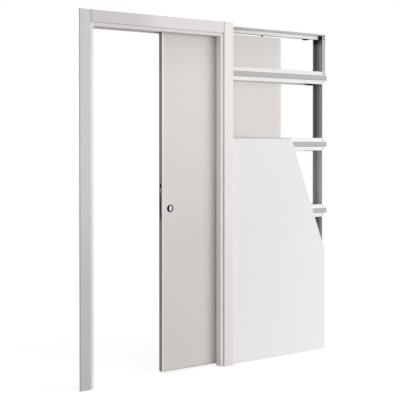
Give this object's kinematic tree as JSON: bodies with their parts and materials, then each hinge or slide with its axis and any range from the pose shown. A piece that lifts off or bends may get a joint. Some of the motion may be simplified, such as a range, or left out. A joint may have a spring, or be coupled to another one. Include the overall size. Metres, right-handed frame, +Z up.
{
  "type": "pocket door frame",
  "caption": "Pocket door frame: lined and cased doorway, galvanised pocket with hat battens under a cut-away board, and a flush leaf that slides on a top track.",
  "frame": {"origin": "underside of the floor plate at the pocket's mouth, at the plate's centre, on the finished floor and on the wall's middle plane", "axes": "+X along the wall into the pocket, +Y through the wall away from the cased side, +Z up"},
  "size_m": [1.894, 0.1495, 2.19],
  "materials": {
    "lining_lacquer": "satin off-white lacquer",
    "casing_lacquer": "satin off-white lacquer",
    "leaf_lacquer": "satin off-white lacquer",
    "board_paper": "matt paper-faced gypsum",
    "zinc_sheet": "galvanised, softly spangled",
    "track_aluminium": "satin anodised",
    "satin_steel": "brushed",
    "chrome": "polished",
    "nylon": "moulded",
    "buffer_rubber": "moulded"
  },
  "bodies": {
    "frame": {"strike_jamb": "lining_lacquer", "pocket_jamb_front": "lining_lacquer", "pocket_jamb_rear": "lining_lacquer", "head_jamb_front": "lining_lacquer", "head_jamb_rear": "lining_lacquer", "casing_strike": "casing_lacquer", "casing_pocket": "casing_lacquer", "casing_head": "casing_lacquer", "header_channel": "zinc_sheet", "sliding_track": "track_aluminium", "track_stop_front": "buffer_rubber", "track_stop_rear": "buffer_rubber", "mouth_post_front": "zinc_sheet", "mouth_post_rear": "zinc_sheet", "rear_upright": "zinc_sheet", "plasterboard": "board_paper", "floor_plate": "zinc_sheet", "floor_guide": "nylon", "strike_plate": "satin_steel", "batten_front_1": "zinc_sheet", "batten_rear_1": "zinc_sheet", "batten_front_2": "zinc_sheet", "batten_rear_2": "zinc_sheet", "batten_front_3": "zinc_sheet", "batten_rear_3": "zinc_sheet", "batten_front_4": "zinc_sheet", "batten_rear_4": "zinc_sheet", "batten_front_5": "zinc_sheet", "batten_rear_5": "zinc_sheet"},
    "door": {"door_leaf": "leaf_lacquer", "lipping_lead": "leaf_lacquer", "lipping_trail": "leaf_lacquer", "flush_pull_front": "chrome", "flush_pull_rear": "chrome", "lock_face_plate": "satin_steel", "edge_pull": "satin_steel", "hanger_plate_lead": "zinc_sheet", "hanger_plate_trail": "zinc_sheet", "trolley_lead": "zinc_sheet", "trolley_trail": "zinc_sheet", "trolley_wheels": "nylon"}
  },
  "joints": [
    {"name": "door_slide", "type": "slide", "parent": "frame", "child": "door", "axis": [1, 0, 0], "range_m": [-0.493, 0.319]}
  ]
}
